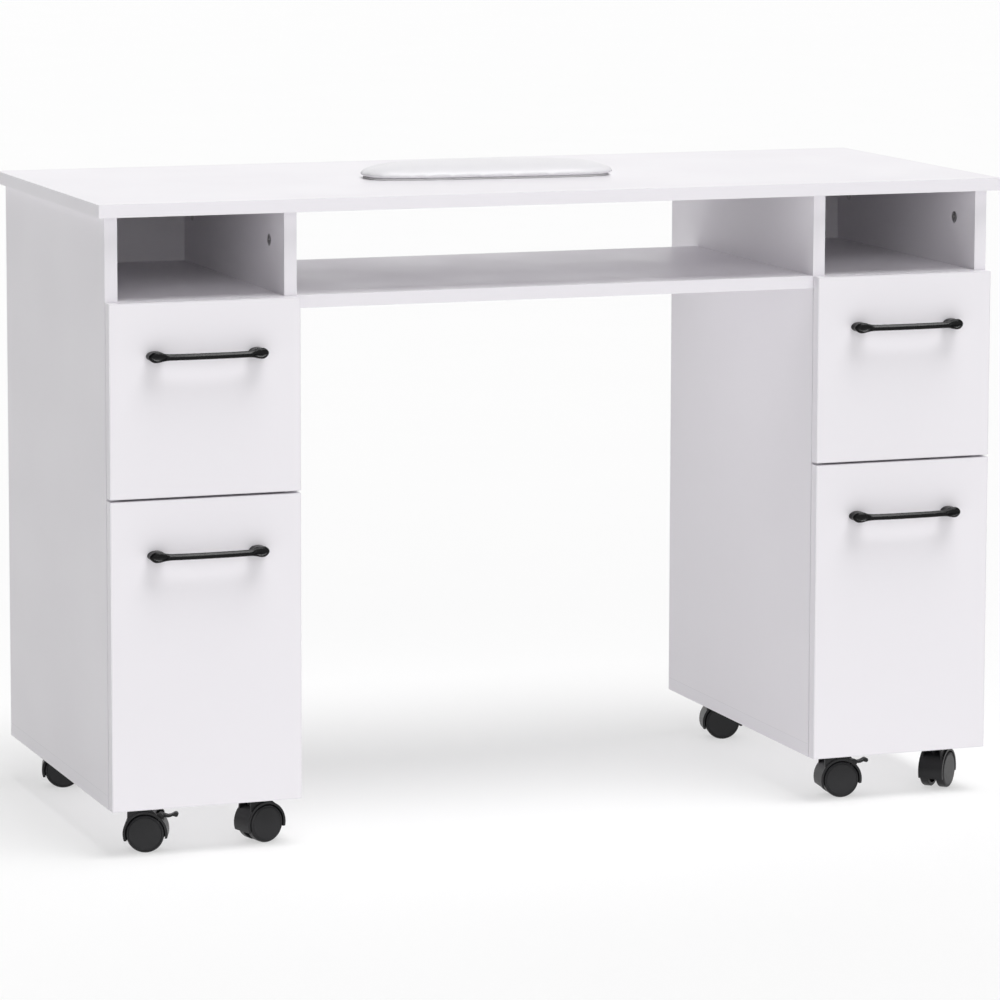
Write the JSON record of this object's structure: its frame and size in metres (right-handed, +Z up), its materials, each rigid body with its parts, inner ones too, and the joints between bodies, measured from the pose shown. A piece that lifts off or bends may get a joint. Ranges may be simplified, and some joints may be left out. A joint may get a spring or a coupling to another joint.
{
  "type": "manicure table",
  "caption": "White melamine manicure table: drawer pedestals with open cubbies, a kneehole shelf, black bow handles, swivel twin-wheel casters with brake levers and a domed wrist cushion.",
  "frame": {"origin": "on the floor, at the middle of the whole table's width and of its depth with the handles", "axes": "+X across the table towards its right-hand pedestal as seen from the drawers' side, +Y from the drawers' side to the back, +Z up"},
  "size_m": [1.2, 0.522, 0.8275],
  "materials": {
    "white_board": "white melamine-faced particle board, satin, with matching edge band",
    "drawer_board": "white foil-wrapped board, satin",
    "hardboard": "white-faced hardboard, matt",
    "handle_black": "satin black powder coat on cast zinc",
    "runner_steel": "zinc-plated rolled steel",
    "zinc": "bright zinc plate",
    "hood_plastic": "fine-textured black nylon",
    "wheel_plastic": "satin black nylon",
    "cushion_leather": "white synthetic leather, soft sheen"
  },
  "bodies": {
    "carcass": {"table_top": "white_board", "kneehole_shelf": "white_board", "left_outer_side": "white_board", "left_inner_side": "white_board", "left_bottom_board": "white_board", "left_cubby_floor": "white_board", "left_back_panel": "white_board", "right_outer_side": "white_board", "right_inner_side": "white_board", "right_bottom_board": "white_board", "right_cubby_floor": "white_board", "right_back_panel": "white_board", "cam_locks": "zinc", "cam_bolts": "zinc", "cabinet_runners": "runner_steel", "caster_plates": "zinc", "caster_screws": "zinc", "wrist_cushion": "cushion_leather"},
    "left_upper_drawer": {"left_upper_front": "white_board", "left_upper_box_sides": "drawer_board", "left_upper_box_back": "drawer_board", "left_upper_box_bottom": "hardboard", "left_upper_handle": "handle_black", "left_upper_runners": "runner_steel"},
    "left_lower_drawer": {"left_lower_front": "white_board", "left_lower_box_sides": "drawer_board", "left_lower_box_back": "drawer_board", "left_lower_box_bottom": "hardboard", "left_lower_handle": "handle_black", "left_lower_runners": "runner_steel"},
    "right_upper_drawer": {"right_upper_front": "white_board", "right_upper_box_sides": "drawer_board", "right_upper_box_back": "drawer_board", "right_upper_box_bottom": "hardboard", "right_upper_handle": "handle_black", "right_upper_runners": "runner_steel"},
    "right_lower_drawer": {"right_lower_front": "white_board", "right_lower_box_sides": "drawer_board", "right_lower_box_back": "drawer_board", "right_lower_box_bottom": "hardboard", "right_lower_handle": "handle_black", "right_lower_runners": "runner_steel"},
    "caster_1_swivel": {"caster_1_hood": "hood_plastic"},
    "caster_1_wheelset": {"caster_1_wheels": "wheel_plastic"},
    "caster_1_brake": {"caster_1_brake_lever": "hood_plastic"},
    "caster_2_swivel": {"caster_2_hood": "hood_plastic"},
    "caster_2_wheelset": {"caster_2_wheels": "wheel_plastic"},
    "caster_3_swivel": {"caster_3_hood": "hood_plastic"},
    "caster_3_wheelset": {"caster_3_wheels": "wheel_plastic"},
    "caster_4_swivel": {"caster_4_hood": "hood_plastic"},
    "caster_4_wheelset": {"caster_4_wheels": "wheel_plastic"},
    "caster_5_swivel": {"caster_5_hood": "hood_plastic"},
    "caster_5_wheelset": {"caster_5_wheels": "wheel_plastic"},
    "caster_5_brake": {"caster_5_brake_lever": "hood_plastic"},
    "caster_6_swivel": {"caster_6_hood": "hood_plastic"},
    "caster_6_wheelset": {"caster_6_wheels": "wheel_plastic"},
    "caster_7_swivel": {"caster_7_hood": "hood_plastic"},
    "caster_7_wheelset": {"caster_7_wheels": "wheel_plastic"},
    "caster_8_swivel": {"caster_8_hood": "hood_plastic"},
    "caster_8_wheelset": {"caster_8_wheels": "wheel_plastic"}
  },
  "joints": [
    {"name": "left_upper_drawer_slide", "type": "slide", "parent": "carcass", "child": "left_upper_drawer", "axis": [0, -1, 0], "range_m": [0, 0.29]},
    {"name": "left_lower_drawer_slide", "type": "slide", "parent": "carcass", "child": "left_lower_drawer", "axis": [0, -1, 0], "range_m": [0, 0.29]},
    {"name": "right_upper_drawer_slide", "type": "slide", "parent": "carcass", "child": "right_upper_drawer", "axis": [0, -1, 0], "range_m": [0, 0.29]},
    {"name": "right_lower_drawer_slide", "type": "slide", "parent": "carcass", "child": "right_lower_drawer", "axis": [0, -1, 0], "range_m": [0, 0.29]},
    {"name": "caster_1_turn", "type": "hinge", "parent": "carcass", "child": "caster_1_swivel", "pos_m": [-0.5405, -0.189, 0.06], "axis": [0, 0, 1], "continuous": true},
    {"name": "caster_1_roll", "type": "hinge", "parent": "caster_1_swivel", "child": "caster_1_wheelset", "pos_m": [-0.53298, -0.19174, 0.0235], "axis": [0.342, 0.9397, 0], "continuous": true},
    {"name": "caster_1_brake_press", "type": "hinge", "parent": "caster_1_swivel", "child": "caster_1_brake", "pos_m": [-0.51607, -0.19789, 0.045], "axis": [0.342, 0.9397, 0], "range_deg": [0, 14]},
    {"name": "caster_2_turn", "type": "hinge", "parent": "carcass", "child": "caster_2_swivel", "pos_m": [-0.3925, -0.189, 0.06], "axis": [0, 0, 1], "continuous": true},
    {"name": "caster_2_roll", "type": "hinge", "parent": "caster_2_swivel", "child": "caster_2_wheelset", "pos_m": [-0.38481, -0.18679, 0.0235], "axis": [-0.2756, 0.9613, 0], "continuous": true},
    {"name": "caster_3_turn", "type": "hinge", "parent": "carcass", "child": "caster_3_swivel", "pos_m": [-0.5405, 0.207, 0.06], "axis": [0, 0, 1], "continuous": true},
    {"name": "caster_3_roll", "type": "hinge", "parent": "caster_3_swivel", "child": "caster_3_wheelset", "pos_m": [-0.53277, 0.20493, 0.0235], "axis": [0.2588, 0.9659, 0], "continuous": true},
    {"name": "caster_4_turn", "type": "hinge", "parent": "carcass", "child": "caster_4_swivel", "pos_m": [-0.3925, 0.207, 0.06], "axis": [0, 0, 1], "continuous": true},
    {"name": "caster_4_roll", "type": "hinge", "parent": "caster_4_swivel", "child": "caster_4_wheelset", "pos_m": [-0.38519, 0.21025, 0.0235], "axis": [-0.4067, 0.9135, 0], "continuous": true},
    {"name": "caster_5_turn", "type": "hinge", "parent": "carcass", "child": "caster_5_swivel", "pos_m": [0.3925, -0.189, 0.06], "axis": [0, 0, 1], "continuous": true},
    {"name": "caster_5_roll", "type": "hinge", "parent": "caster_5_swivel", "child": "caster_5_wheelset", "pos_m": [0.40046, -0.18984, 0.0235], "axis": [0.1045, 0.9945, 0], "continuous": true},
    {"name": "caster_5_brake_press", "type": "hinge", "parent": "caster_5_swivel", "child": "caster_5_brake", "pos_m": [0.41836, -0.19172, 0.045], "axis": [0.1045, 0.9945, 0], "range_deg": [0, 14]},
    {"name": "caster_6_turn", "type": "hinge", "parent": "carcass", "child": "caster_6_swivel", "pos_m": [0.5405, -0.189, 0.06], "axis": [0, 0, 1], "continuous": true},
    {"name": "caster_6_roll", "type": "hinge", "parent": "caster_6_swivel", "child": "caster_6_wheelset", "pos_m": [0.54616, -0.18334, 0.0235], "axis": [-0.7071, 0.7071, 0], "continuous": true},
    {"name": "caster_7_turn", "type": "hinge", "parent": "carcass", "child": "caster_7_swivel", "pos_m": [0.3925, 0.207, 0.06], "axis": [0, 0, 1], "continuous": true},
    {"name": "caster_7_roll", "type": "hinge", "parent": "caster_7_swivel", "child": "caster_7_wheelset", "pos_m": [0.40026, 0.20506, 0.0235], "axis": [0.2419, 0.9703, 0], "continuous": true},
    {"name": "caster_8_turn", "type": "hinge", "parent": "carcass", "child": "caster_8_swivel", "pos_m": [0.5405, 0.207, 0.06], "axis": [0, 0, 1], "continuous": true},
    {"name": "caster_8_roll", "type": "hinge", "parent": "caster_8_swivel", "child": "caster_8_wheelset", "pos_m": [0.54842, 0.20811, 0.0235], "axis": [-0.1392, 0.9903, 0], "continuous": true}
  ]
}
